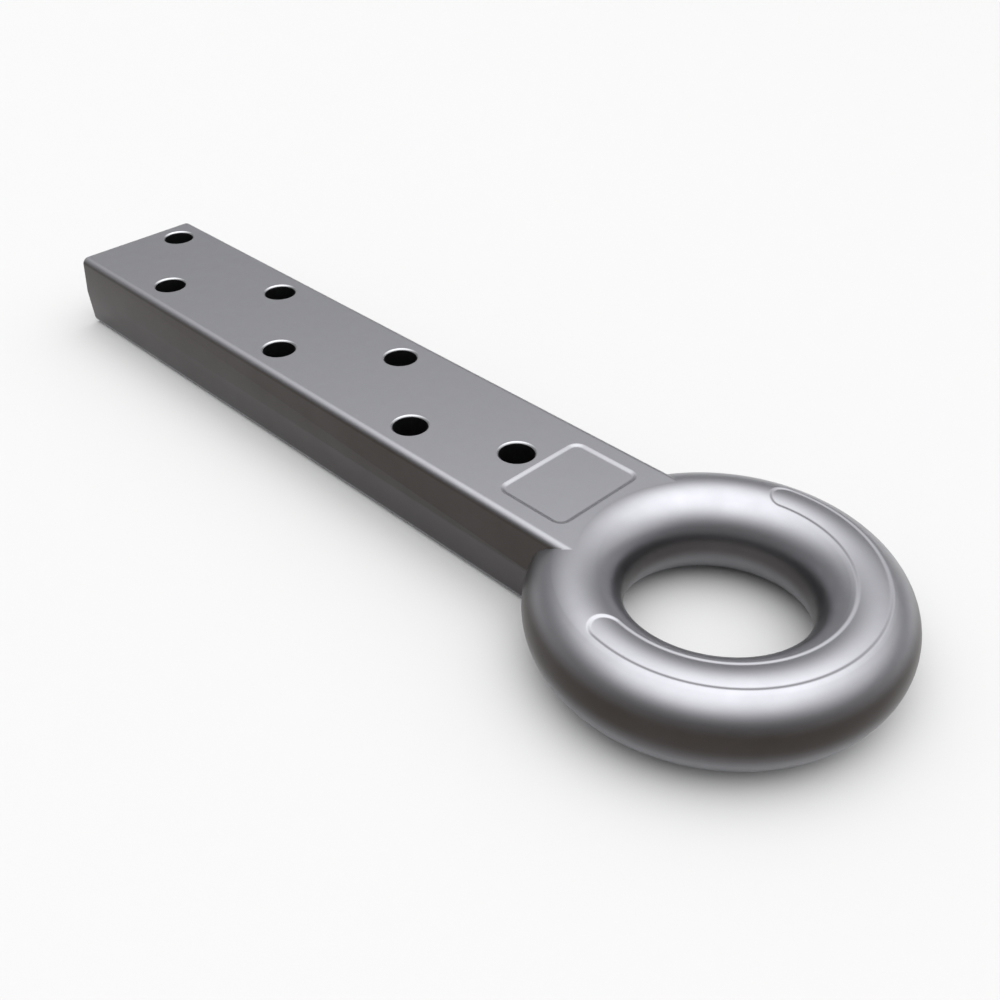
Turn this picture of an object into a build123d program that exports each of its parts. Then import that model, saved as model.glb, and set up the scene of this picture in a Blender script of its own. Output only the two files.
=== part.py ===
from build123d import *
import math
import os

os.makedirs("parts", exist_ok=True)

# A forged steel tow ring whose straight shank is bolted to a trailer's drawbar.
# The origin is the centre of the eye, on the forging's parting plane. The shank runs along -X.

# The ring
eye_bore = 76.2  # clear diameter through the eye
stock = 41.3  # diameter of the ring's round section
crest_flat = 2.0  # width of the flat on the ring's crest, level with the shank's face
trim_land = 1.0  # height of the flat left round the ring, inside and out, where the flash was trimmed

# The shank
shank_width = 76.2  # across the parting line
draft = 4.0  # lean of each side, up and down from the parting line, in degrees
edge_r = 4.0  # round along the four long edges
end_break = 1.5  # chamfer about the cropped end

# The bolt holes, one on the centre line and then left and right by turns
hole_count = 7
hole_bore = 16.5
hole_break = 0.75  # chamfer at both mouths
hole_pitch = 50.8  # step along the shank from each hole to the next
hole_rows = 38.1  # distance between the two rows
hole_setback = 12.85  # from the sunk panel to the first hole's centre
end_margin = 15.9  # from the last hole's centre to the cropped end

# The two sunk marking places, left bare
sunk = 0.45  # depth of both
panel_length = 50.8  # across the shank
panel_width = 38.1  # along the shank
panel_corner = 6.0
panel_setback = 4.6  # from the ring's crest to the panel's near edge
panel_bevel = 1.5  # run of the panel's sloped wall
band_width = 12.7  # of the band on the ring's crest, between its walls
band_reach = 106.0  # angle from the far side of the eye to each round end of the band
band_bevel_share = 0.8  # bevel on the band's rim, as a share of its depth

half_t = stock / 2
half_w = shank_width / 2
crest_r = eye_bore / 2 + half_t
face_z = math.sqrt(half_t**2 - (crest_flat / 2) ** 2)
land_r = math.sqrt(half_t**2 - (trim_land / 2) ** 2)
lean = face_z * math.tan(math.radians(draft))
panel_x = -(crest_r + panel_setback + panel_width / 2)
first_x = panel_x - panel_width / 2 - hole_setback
shank_end = -first_x + (hole_count - 1) * hole_pitch + end_margin
hole_spots = [(first_x, 0)]
for number in range(1, hole_count):
    side = -1 if number % 2 else 1
    hole_spots.append((first_x - number * hole_pitch, side * hole_rows / 2))

# The shank's section is drawn at its cropped end and drawn out to the eye, then cut back to the crest.
with BuildPart() as shank:
    with BuildSketch(Plane.YZ.offset(-shank_end)) as section:
        with BuildLine():
            Polyline(
                (half_w, 0),
                (half_w - lean, face_z),
                (lean - half_w, face_z),
                (-half_w, 0),
                (lean - half_w, -face_z),
                (half_w - lean, -face_z),
                close=True,
            )
        make_face()
        corners = [v for v in section.vertices() if abs(v.Y) > face_z / 2]
        fillet(corners, edge_r)
    extrude(amount=shank_end)
    chamfer(shank.faces().sort_by(Axis.X)[0].edges(), end_break)
    Cylinder(crest_r, 2 * stock, mode=Mode.SUBTRACT)

# The cutter for the band follows the ring's round section at an even depth.
with BuildPart() as band:
    with BuildSketch(Plane.XY.offset(half_t / 2)):
        half_sweep = band_reach - math.degrees(band_width / 2 / crest_r)
        SlotArc(CenterArc((0, 0), crest_r, -half_sweep, 2 * half_sweep), band_width)
    extrude(amount=stock)
    with BuildSketch(Plane.XZ):
        with Locations((-crest_r, 0)):
            Circle(half_t - sunk)
    revolve(axis=Axis.Z, mode=Mode.SUBTRACT)

with BuildPart() as tow_ring:
    # The ring: a round section with a narrow flat on each side, turned about the eye's axis.
    with BuildSketch(Plane.XZ):
        with Locations((-crest_r, 0)):
            Circle(half_t)
            Rectangle(2 * land_r, 2 * face_z, mode=Mode.INTERSECT)
    revolve(axis=Axis.Z)
    add(shank.part)

    # The sunk band on the ring's crest, with a bevelled rim.
    add(band.part, mode=Mode.SUBTRACT)
    rim = []
    for edge in tow_ring.edges(Select.LAST):
        middle = edge @ 0.5
        from_core = math.hypot(math.hypot(middle.X, middle.Y) - crest_r, middle.Z)
        if from_core > half_t - sunk / 4:
            rim.append(edge)
    chamfer(rim, band_bevel_share * sunk)

    # The bolt holes, chamfered at both mouths.
    with Locations(*hole_spots):
        Hole(hole_bore / 2)
    mouths = []
    for edge in tow_ring.edges().filter_by(GeomType.CIRCLE):
        if abs(edge.radius - hole_bore / 2) < 0.001:
            mouths.append(edge)
    chamfer(mouths, hole_break)

    # The sunk panel on the shank's upper face.
    with BuildSketch(Plane.XY.offset(face_z)):
        with Locations((panel_x, 0)):
            RectangleRounded(panel_width, panel_length, panel_corner)
    slope = math.degrees(math.atan(panel_bevel / sunk))
    extrude(amount=-sunk, taper=slope, mode=Mode.SUBTRACT)

tow_ring.part.label = "tow_ring"
export_step(tow_ring.part, "parts/tow_ring.step")
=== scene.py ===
import math

import bmesh
import bpy
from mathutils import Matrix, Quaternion, Vector


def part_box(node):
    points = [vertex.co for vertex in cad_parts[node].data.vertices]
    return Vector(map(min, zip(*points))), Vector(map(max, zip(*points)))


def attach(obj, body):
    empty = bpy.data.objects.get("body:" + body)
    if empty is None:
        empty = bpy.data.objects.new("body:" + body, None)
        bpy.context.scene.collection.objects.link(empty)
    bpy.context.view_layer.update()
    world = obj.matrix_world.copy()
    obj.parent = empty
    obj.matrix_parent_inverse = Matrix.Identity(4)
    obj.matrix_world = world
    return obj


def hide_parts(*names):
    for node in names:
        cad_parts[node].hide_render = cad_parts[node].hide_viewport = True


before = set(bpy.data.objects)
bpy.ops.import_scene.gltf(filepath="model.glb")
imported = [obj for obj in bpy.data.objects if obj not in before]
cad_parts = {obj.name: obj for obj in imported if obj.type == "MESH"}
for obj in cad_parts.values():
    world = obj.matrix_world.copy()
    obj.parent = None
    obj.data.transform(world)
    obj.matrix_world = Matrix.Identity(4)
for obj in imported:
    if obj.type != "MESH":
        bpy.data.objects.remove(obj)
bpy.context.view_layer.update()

MM = 0.001
UP = (0, 0, 1)

# Sizes of the forging, in millimetres and degrees. They are the part's own, except for the two recesses.
# Their walls are soft here, and they are a little deeper, because the soft walls hide some of the depth.
EYE_BORE = 76.2
STOCK = 41.3  # diameter of the ring's round section
CREST_FLAT = 2.0  # the shank's faces lie level with a flat of this width on the ring's crest
SHANK_WIDTH = 76.2
DRAFT = 4.0  # lean of the shank's sides
EDGE_R = 4.0
END_BREAK = 1.5
HOLE_COUNT = 7
HOLE_R = 8.25
HOLE_BREAK = 0.75
HOLE_PITCH = 50.8
HOLE_ROWS = 38.1
HOLE_SETBACK = 12.85  # from the sunk panel to the first hole's centre
END_MARGIN = 15.9  # from the last hole's centre to the cropped end
SUNK = 0.6
PANEL_WIDTH = 38.1  # along the shank
PANEL_LENGTH = 50.8  # across the shank
PANEL_CORNER = 6.0
PANEL_SETBACK = 4.6  # from the ring's crest to the panel
PANEL_WALL = 2.7  # run of the panel's soft wall
PANEL_FLARE = 0.8  # how far the soft rim reaches past the outline
BAND_WIDTH = 12.7
BAND_REACH = 106.0  # angle from the far side of the eye to each end of the band
BAND_WALL = (5.7, 7.5)  # the band's soft wall, from its foot to its rim, either side of the crest

# A hole's softly broken mouth, from its rim inwards: out from the bore and under the face, times HOLE_BREAK
MOUTH = [(1.4, -0.067), (1.067, 0.067), (0.733, 0.293), (0.267, 0.76), (0.08, 1.0), (0, 1.293)]

# How the meshes are cut
CLOSE_ARC = 52.0  # the stretch of the ring's section, over the crest, with close lines for the band's rim
SECTION_STEPS = (52, 58)  # along the close arc, and round the rest of the section
BAND_MARGIN = (1.0, 2.5)  # how far close lines run short of the start of the band's round end, and past it
TURN_STEPS = (48, 44, 160)  # from the shank to the band, over one of its ends, and along it
ROUND_STEPS = 12
END_STEPS = 3
HOLE_STEPS = 96
CREST_STEPS = 256
PANEL_STEPS = 8
PANEL_LIFT = 0.02  # the panel cutter's rim stands this far over the face, so that it cuts cleanly
OVERCUT = 2.0  # how far a cutter stands out of the forging
SNUG = 0.001  # points closer than this are one point
BORE_SKIN = 0.03  # a face this close to a bore's radius belongs to the bore
SHARP_ANGLE = 30.0

HALF_T = STOCK / 2
CREST_R = EYE_BORE / 2 + HALF_T
FACE_Z = math.sqrt(HALF_T**2 - (CREST_FLAT / 2) ** 2)
HALF_W = SHANK_WIDTH / 2
TOP_HALF_W = HALF_W - FACE_Z * math.tan(math.radians(DRAFT))
PANEL_X = -(CREST_R + PANEL_SETBACK + PANEL_WIDTH / 2)
FIRST_HOLE = PANEL_X - PANEL_WIDTH / 2 - HOLE_SETBACK
SHANK_END = FIRST_HOLE - (HOLE_COUNT - 1) * HOLE_PITCH - END_MARGIN
HOLES = [(FIRST_HOLE, 0.0)]
for number in range(1, HOLE_COUNT):
    side = -1 if number % 2 else 1
    HOLES.append((FIRST_HOLE - number * HOLE_PITCH, side * HOLE_ROWS / 2))


def finish_mesh(bm, name):
    """Turns a bmesh in millimetres into an object in metres."""
    bmesh.ops.scale(bm, vec=(MM, MM, MM), verts=bm.verts)
    bmesh.ops.recalc_face_normals(bm, faces=bm.faces)
    mesh = bpy.data.meshes.new(name)
    bm.to_mesh(mesh)
    bm.free()
    obj = bpy.data.objects.new(name, mesh)
    bpy.context.scene.collection.objects.link(obj)
    return obj


def boolean(obj, other, operation):
    """Joins or cuts obj by other, keeps the result in obj and removes other."""
    modifier = obj.modifiers.new(operation, "BOOLEAN")
    modifier.operation = operation
    modifier.solver = "EXACT"
    modifier.object = other
    graph = bpy.context.evaluated_depsgraph_get()
    mesh = bpy.data.meshes.new_from_object(obj.evaluated_get(graph))
    obj.modifiers.clear()
    obj.data = mesh
    bm = bmesh.new()
    bm.from_mesh(mesh)
    bmesh.ops.dissolve_degenerate(bm, edges=bm.edges, dist=SNUG * MM)
    bm.to_mesh(mesh)
    bm.free()
    bpy.data.objects.remove(other)


def chain(bm, points):
    """Points joined by edges, in order. Returns both."""
    verts = [bm.verts.new(p) for p in points]
    edges = [bm.edges.new(pair) for pair in zip(verts, verts[1:])]
    return verts + edges


def turn(bm, geom, centre, axis, zones):
    """Spins geometry about an axis, zone by zone. A zone is its sweep in degrees and its number of steps."""
    for sweep, steps in zones:
        spun = bmesh.ops.spin(
            bm,
            geom=geom,
            cent=centre,
            axis=axis,
            angle=math.radians(sweep),
            steps=steps,
            use_merge=sweep == 360,
        )
        geom = spun["geom_last"]
    bmesh.ops.remove_doubles(bm, verts=bm.verts, dist=SNUG)


def smooth_step(value, low, high):
    """0 below low, 1 above high, and soft at both."""
    t = min(max((value - low) / (high - low), 0.0), 1.0)
    return t * t * (3 - 2 * t)


def make_ring():
    """The ring: a point spun into a round section, which is spun about the eye, then sunk along the band."""
    bm = bmesh.new()
    start = math.radians(CLOSE_ARC / 2)
    point = bm.verts.new((-CREST_R - HALF_T * math.sin(start), 0, HALF_T * math.cos(start)))
    arcs = [(CLOSE_ARC, SECTION_STEPS[0]), (360 - CLOSE_ARC, SECTION_STEPS[1])]
    turn(bm, [point], (-CREST_R, 0, 0), (0, 1, 0), arcs)
    half_sweep = BAND_REACH - math.degrees(BAND_WIDTH / 2 / CREST_R)
    short_of_end = half_sweep - BAND_MARGIN[0]
    past_end = BAND_REACH + BAND_MARGIN[1]
    bare = (180 - past_end, TURN_STEPS[0])
    band_end = (past_end - short_of_end, TURN_STEPS[1])
    band = (2 * short_of_end, TURN_STEPS[2])
    zones = [bare, band_end, band, band_end, bare]
    turn(bm, bm.verts[:] + bm.edges[:], (0, 0, 0), UP, zones)
    for v in bm.verts:
        if v.co.z < HALF_T / 2:
            continue
        out = math.hypot(v.co.x, v.co.y) - CREST_R
        across = HALF_T * math.asin(max(-1.0, min(1.0, out / HALF_T)))
        past = abs(math.atan2(v.co.y, v.co.x)) - math.radians(half_sweep)
        along = max(past, 0) * CREST_R
        depth = SUNK * (1 - smooth_step(math.hypot(across, along), *BAND_WALL))
        core = Vector((v.co.x, v.co.y, 0)).normalized() * CREST_R
        v.co -= (v.co - core).normalized() * depth
    return finish_mesh(bm, "ring")


def make_shank():
    """The shank: its drafted section drawn out from the cropped end, then cut back to the ring's crest."""
    bm = bmesh.new()
    corners = [
        (HALF_W, 0),
        (TOP_HALF_W, FACE_Z),
        (-TOP_HALF_W, FACE_Z),
        (-HALF_W, 0),
        (-TOP_HALF_W, -FACE_Z),
        (TOP_HALF_W, -FACE_Z),
    ]
    verts = [bm.verts.new((SHANK_END, y, z)) for y, z in corners]
    bm.faces.new(verts)
    rounded = [v for v in verts if abs(v.co.z) > FACE_Z / 2]
    reach = EDGE_R * math.tan(math.radians(90 - DRAFT) / 2)
    bmesh.ops.bevel(
        bm,
        geom=rounded,
        offset=reach,
        segments=ROUND_STEPS,
        profile=0.5,
        affect="VERTICES",
        material=-1,
    )
    grown = bmesh.ops.extrude_face_region(bm, geom=bm.faces[:])
    drawn = [v for v in grown["geom"] if isinstance(v, bmesh.types.BMVert)]
    bmesh.ops.translate(bm, vec=(-SHANK_END, 0, 0), verts=drawn)
    end_edges = [e for e in bm.edges if all(abs(v.co.x - SHANK_END) < SNUG for v in e.verts)]
    bmesh.ops.bevel(
        bm,
        geom=end_edges,
        offset=END_BREAK,
        segments=END_STEPS,
        profile=0.5,
        affect="EDGES",
        material=-1,
    )
    shank = finish_mesh(bm, "shank")
    bm = bmesh.new()
    bmesh.ops.create_cone(
        bm, cap_ends=True, segments=CREST_STEPS, radius1=CREST_R, radius2=CREST_R, depth=2 * STOCK
    )
    boolean(shank, finish_mesh(bm, "crest"), "DIFFERENCE")
    return shank


def make_drills():
    """The bolt holes' cutter: one turned shape at each hole, with a softly broken chamfer at both mouths."""
    bm = bmesh.new()
    mouth = [(HOLE_R + HOLE_BREAK * out, FACE_Z - HOLE_BREAK * down) for out, down in MOUTH]
    over = FACE_Z + OVERCUT
    profile = [(0, over), (mouth[0][0], over)] + mouth
    profile += [(r, -z) for r, z in reversed(profile)]
    for x, y in HOLES:
        outline = chain(bm, [(x + r, y, z) for r, z in profile])
        turn(bm, outline, (x, y, 0), UP, [(360, HOLE_STEPS)])
    return finish_mesh(bm, "drills")


def make_panel_cutter():
    """The sunk panel's cutter: a rounded outline stepped in and down over a soft rim and a soft foot."""
    bm = bmesh.new()
    half_x = PANEL_WIDTH / 2 + PANEL_FLARE
    half_y = PANEL_LENGTH / 2 + PANEL_FLARE
    spots = [(-half_x, -half_y), (half_x, -half_y), (half_x, half_y), (-half_x, half_y)]
    verts = [bm.verts.new((PANEL_X + x, y, FACE_Z + PANEL_LIFT)) for x, y in spots]
    bm.faces.new(verts)
    bmesh.ops.bevel(
        bm,
        geom=verts,
        offset=PANEL_CORNER,
        segments=ROUND_STEPS,
        profile=0.5,
        affect="VERTICES",
        material=-1,
    )
    bm.normal_update()
    floor = bm.faces[:]
    falls = [smooth_step(n, 0, PANEL_STEPS) for n in range(PANEL_STEPS + 1)]
    for before, after in zip(falls, falls[1:]):
        bmesh.ops.inset_region(
            bm,
            faces=floor,
            thickness=PANEL_WALL / PANEL_STEPS,
            depth=(SUNK + PANEL_LIFT) * (before - after),
            use_boundary=True,
            use_even_offset=True,
        )
    rim = [e for e in bm.edges if e.is_boundary]
    walls = bmesh.ops.extrude_edge_only(bm, edges=rim)
    top = [g for g in walls["geom"] if isinstance(g, bmesh.types.BMVert)]
    bmesh.ops.translate(bm, vec=(0, 0, OVERCUT), verts=top)
    bmesh.ops.holes_fill(bm, edges=[e for e in bm.edges if e.is_boundary])
    return finish_mesh(bm, "panel_cutter")


forging = make_ring()
boolean(forging, make_shank(), "UNION")
boolean(forging, make_drills(), "DIFFERENCE")
boolean(forging, make_panel_cutter(), "DIFFERENCE")
forging.name = "forging"
forging.data.name = "forging"

# Sizes of the finishes' patterns, in millimetres
BLAST_PATCH = 11.0
# The next size is that of the blotches in the painted shade's dark brown
SHADE_BLOTCH_PATCH = 38.0
BLAST_GRAIN = 0.65  # real blasting is finer, and is drawn coarse enough to show
GRAIN_DEPTH = 0.04
DRILL_RING = 0.33  # real drill marks are finer, and are drawn coarse enough to show
EYE_SIDE = (44.0, 53.0)  # distances from the eye's axis between which the inside of the eye ends

# Painted light and shade: how much of the lit grey shows, rather than the painted shade's dark brown, as a
# surface turns from facing down, at 0, to facing up, at 1. The upright sides get the painted shade, and the
# inside of the eye is painted lighter.
OUTER_PAINTED_LIGHT = [(0.27, 1), (0.31, 0.95), (0.36, 0.6), (0.41, 0.33), (0.46, 0.15), (0.5, 0.06), (0.54, 0)]
OUTER_PAINTED_LIGHT += [(0.62, 0), (0.68, 0), (0.72, 0.09), (0.76, 0.28), (0.8, 0.56), (0.84, 0.85), (0.88, 1)]
EYE_PAINTED_LIGHT = [(0.27, 1), (0.33, 0.8), (0.39, 0.48), (0.45, 0.2), (0.5, 0.1), (0.56, 0.14), (0.62, 0.27)]
EYE_PAINTED_LIGHT += [(0.68, 0.4), (0.74, 0.64), (0.8, 0.95), (0.86, 1)]

# The sockets of a Mix node that mixes colours
SHARE = 0
FIRST = 6
SECOND = 7
MIXED = 2


def srgb(code):
    """A hex colour as linear RGBA."""
    parts = [int(code[n : n + 2], 16) / 255 for n in (1, 3, 5)]
    linear = [c / 12.92 if c <= 0.04045 else ((c + 0.055) / 1.055) ** 2.4 for c in parts]
    return (*linear, 1.0)


def add_node(tree, kind, inputs, stops=(), **settings):
    """Adds a shader node with its settings. An input is a value or another node's output.

    Stops are for a colour ramp, which is soft. Each is a place and the grey there.
    """
    node = tree.nodes.new("ShaderNode" + kind)
    for key, value in settings.items():
        setattr(node, key, value)
    for key, value in inputs.items():
        if isinstance(value, bpy.types.NodeSocket):
            tree.links.new(value, node.inputs[key])
        else:
            node.inputs[key].default_value = value
    if stops:
        ramp = node.color_ramp
        ramp.interpolation = "B_SPLINE"
        ramp.elements.remove(ramp.elements[1])
        ramp.elements[0].position = stops[0][0]
        for place, grey in stops[1:]:
            ramp.elements.new(place)
        for element, (place, grey) in zip(ramp.elements, stops):
            element.color = (grey, grey, grey, 1)
    return node


def new_material(name):
    """A material, its tree, its shader and its texture coordinates."""
    material = bpy.data.materials.new(name)
    material.use_nodes = True
    tree = material.node_tree
    shader = tree.nodes["Principled BSDF"]
    where = add_node(tree, "TexCoord", {})
    return material, tree, shader, where


def blasted_forging_with_painted_shade():
    """Shot-blasted forged steel: a satin grey with a fine grain.

    Its upright sides get painted shade, a darker, warmer colour, which is painted lighter inside the eye.
    """
    material, tree, shader, where = new_material("shot_blasted_steel_with_painted_shade")
    spot = where.outputs["Object"]
    blast = {"Vector": spot, "Scale": 1 / (BLAST_PATCH * MM), "Detail": 4.0, "Roughness": 0.55}
    patches = add_node(tree, "TexNoise", blast).outputs["Fac"]
    # Noise for the blotches in the painted shade's dark colour
    scale = {"Vector": spot, "Scale": 1 / (SHADE_BLOTCH_PATCH * MM), "Detail": 5.0, "Roughness": 0.6}
    blotches = add_node(tree, "TexNoise", scale).outputs["Fac"]
    grit = {"Vector": spot, "Scale": 1 / (BLAST_GRAIN * MM), "Detail": 3.0, "Roughness": 0.6}
    grain = add_node(tree, "TexNoise", grit).outputs["Fac"]

    greys = {FIRST: srgb("#A0A0A5"), SECOND: srgb("#96969B"), SHARE: patches}
    grey = add_node(tree, "Mix", greys, data_type="RGBA").outputs[MIXED]
    # Painted shade: a darker, warmer brown for the upright sides
    painted_shade_colours = {FIRST: srgb("#4B4746"), SECOND: srgb("#393430"), SHARE: blotches}
    painted_shade_colour = add_node(tree, "Mix", painted_shade_colours, data_type="RGBA").outputs[MIXED]

    # Painted light and shade by which way a surface faces, painted lighter inside the eye
    normal = add_node(tree, "SeparateXYZ", {0: where.outputs["Normal"]})
    facing = add_node(tree, "MapRange", {"Value": normal.outputs["Z"], "From Min": -1.0}).outputs[0]
    outer = add_node(tree, "ValToRGB", {"Fac": facing}, stops=OUTER_PAINTED_LIGHT).outputs["Color"]
    inner = add_node(tree, "ValToRGB", {"Fac": facing}, stops=EYE_PAINTED_LIGHT).outputs["Color"]
    level = add_node(tree, "VectorMath", {0: spot, 1: (1, 1, 0)}, operation="MULTIPLY").outputs[0]
    radius = add_node(tree, "VectorMath", {0: level}, operation="LENGTH").outputs["Value"]
    limits = {"Value": radius, "From Min": EYE_SIDE[0] * MM, "From Max": EYE_SIDE[1] * MM}
    outside = add_node(tree, "MapRange", limits).outputs[0]
    shares = {FIRST: inner, SECOND: outer, SHARE: outside}
    blasted = add_node(tree, "Mix", shares, data_type="RGBA").outputs[MIXED]

    # The painted shade's brown on the upright sides, the grey elsewhere
    finish = {FIRST: painted_shade_colour, SECOND: grey, SHARE: blasted}
    colour = add_node(tree, "Mix", finish, data_type="RGBA").outputs[MIXED]
    dull = add_node(tree, "MapRange", {"Value": patches, "To Min": 0.3, "To Max": 0.38}).outputs[0]
    relief = {"Height": grain, "Strength": 0.25, "Distance": GRAIN_DEPTH * MM}
    bump = add_node(tree, "Bump", relief).outputs[0]
    tree.links.new(colour, shader.inputs["Base Color"])
    tree.links.new(dull, shader.inputs["Roughness"])
    tree.links.new(bump, shader.inputs["Normal"])
    shader.inputs["Metallic"].default_value = 1.0
    return material


def turned_steel(name, colours, dullness):
    """Steel cut by a drill: two colours and a dullness that vary in faint turned rings."""
    material, tree, shader, where = new_material(name)
    height = add_node(tree, "SeparateXYZ", {0: where.outputs["Object"]}).outputs["Z"]
    marks = {"W": height, "Scale": 1 / (DRILL_RING * MM), "Detail": 2.0}
    rings = add_node(tree, "TexNoise", marks, noise_dimensions="1D").outputs["Fac"]
    steels = {FIRST: srgb(colours[0]), SECOND: srgb(colours[1]), SHARE: rings}
    colour = add_node(tree, "Mix", steels, data_type="RGBA").outputs[MIXED]
    dull_range = {"Value": rings, "To Min": dullness[0], "To Max": dullness[1]}
    dull = add_node(tree, "MapRange", dull_range).outputs[0]
    tree.links.new(colour, shader.inputs["Base Color"])
    tree.links.new(dull, shader.inputs["Roughness"])
    shader.inputs["Metallic"].default_value = 1.0
    return material


forging.data.materials.clear()
forging.data.materials.append(blasted_forging_with_painted_shade())
# Bare cut steel: a thin bright ring round each hole's mouth
forging.data.materials.append(turned_steel("bare_cut_steel", ("#A4A5A8", "#B2B3B6"), (0.24, 0.34)))
# Drilled bores with painted shade: a darker steel, so that each hole looks nearly black inside
forging.data.materials.append(turned_steel("drilled_bore_painted_shade", ("#6C6C6E", "#5A5A5C"), (0.3, 0.4)))
for polygon in forging.data.polygons:
    corners = [forging.data.vertices[index].co / MM for index in polygon.vertices]
    polygon.material_index = 0
    for x, y in HOLES:
        reach = max(math.hypot(c.x - x, c.y - y) for c in corners)
        # Bore walls take the bore's painted shade; the mouth's chamfer takes bare cut steel
        if reach < HOLE_R + BORE_SKIN:
            polygon.material_index = 2
        elif reach < HOLE_R + HOLE_BREAK * MOUTH[0][0]:
            polygon.material_index = 1
forging.data.shade_smooth()
forging.data.set_sharp_from_angle(angle=math.radians(SHARP_ANGLE))
weighted = forging.modifiers.new("weighted_normals", "WEIGHTED_NORMAL")
weighted.keep_sharp = True
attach(forging, "root")
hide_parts("tow_ring")

# The floor: a plain sheet that sweeps up into a wall all round, well clear of the object, in millimetres.
FLAT_R = 2200
COVE_R = 1000
COVE_STEPS = 12
WALL_TOP = 1200
FLOOR_STEPS = 96
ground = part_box("tow_ring")[0][2]


def make_floor():
    """The sheet's outline, from its middle to the top of its wall, turned about the eye's axis."""
    bm = bmesh.new()
    cove = [math.radians(90 * n / COVE_STEPS) for n in range(COVE_STEPS + 1)]
    profile = [(0, 0)]
    profile += [(FLAT_R + COVE_R * math.sin(a), COVE_R * (1 - math.cos(a))) for a in cove]
    profile += [(FLAT_R + COVE_R, WALL_TOP)]
    outline = chain(bm, [(r, 0, ground / MM + z) for r, z in profile])
    turn(bm, outline, (0, 0, 0), UP, [(360, FLOOR_STEPS)])
    sheet = finish_mesh(bm, "floor")
    sheet.data.shade_smooth()
    return sheet


def pale_paper():
    """Matt paper: pale underfoot, and greyer up the wall, so that steel which mirrors the wall stays dark."""
    material, tree, shader, where = new_material("pale_paper")
    height = add_node(tree, "SeparateXYZ", {0: where.outputs["Object"]}).outputs["Z"]
    sweep = {"Value": height, "From Min": ground, "From Max": ground + COVE_R * MM}
    climb = add_node(tree, "MapRange", sweep).outputs[0]
    papers = {FIRST: srgb("#CACACA"), SECOND: srgb("#A0A0A0"), SHARE: climb}
    colour = add_node(tree, "Mix", papers, data_type="RGBA").outputs[MIXED]
    tree.links.new(colour, shader.inputs["Base Color"])
    shader.inputs["Roughness"].default_value = 0.9
    shader.inputs["Specular IOR Level"].default_value = 0.0
    return material


floor = make_floor()
floor.data.materials.append(pale_paper())

# The light: a broad soft dome, brightest overhead and dim at the horizon, and two weaker soft lights, one
# beyond the ring and a faint low one beyond the shank. Each has a direction, as its azimuth from +X towards
# +Y and its elevation, and steps, as the cosine off that direction and the brightness there.
DOME_PEAK = 2.95
DOME = [(0, 0.05), (0.17, 0.06), (0.34, 0.09), (0.5, 0.16)]
DOME += [(0.64, 0.27), (0.77, 0.58), (0.87, 0.86), (0.95, 1.0)]
LIGHTS = [
    ((0, 90), DOME),
    ((55, 34), [(0.5, 0), (0.7, 0.06), (0.85, 0.17), (0.97, 0.26)]),
    ((150, 14), [(0.8, 0), (0.9, 0.02), (0.98, 0.08)]),
]


def direction(azimuth, elevation):
    """A unit vector, from angles in degrees."""
    around = math.radians(azimuth)
    lift = math.radians(elevation)
    return Vector((math.cos(around) * math.cos(lift), math.sin(around) * math.cos(lift), math.sin(lift)))


world = bpy.data.worlds.new("soft_dome")
bpy.context.scene.world = world
world.use_nodes = True
tree = world.node_tree
background = tree.nodes["Background"]
sky = add_node(tree, "TexCoord", {}).outputs["Generated"]
total = (0, 0, 0, 1)
for angles, steps in LIGHTS:
    axis = {0: sky, 1: direction(*angles)}
    toward = add_node(tree, "VectorMath", axis, operation="DOT_PRODUCT").outputs["Value"]
    glow = add_node(tree, "ValToRGB", {"Fac": toward}, stops=steps).outputs["Color"]
    both = {FIRST: total, SECOND: glow, SHARE: 1.0}
    total = add_node(tree, "Mix", both, data_type="RGBA", blend_type="ADD").outputs[MIXED]
tree.links.new(total, background.inputs["Color"])
background.inputs["Strength"].default_value = DOME_PEAK

# The camera, placed as the photograph was taken, in millimetres and degrees.
CAMERA_SPOT = Vector((202.181, -320.958, 329.022))
CAMERA_AIM = Vector((-114.006, -11.077, 0.0))
CAMERA_ROLL = -0.379
SENSOR = 36.0
LENS = 43.79
NEAREST = 10.0
camera_data = bpy.data.cameras.new("camera")
camera = bpy.data.objects.new("camera", camera_data)
bpy.context.scene.collection.objects.link(camera)
bpy.context.scene.camera = camera
camera_data.sensor_width = SENSOR
camera_data.lens = LENS
camera_data.clip_start = NEAREST * MM
camera.location = CAMERA_SPOT * MM
sight = (CAMERA_AIM - CAMERA_SPOT).to_track_quat("-Z", "Y")
camera.rotation_euler = (sight @ Quaternion(UP, math.radians(CAMERA_ROLL))).to_euler()

bpy.context.scene.view_settings.view_transform = "Standard"
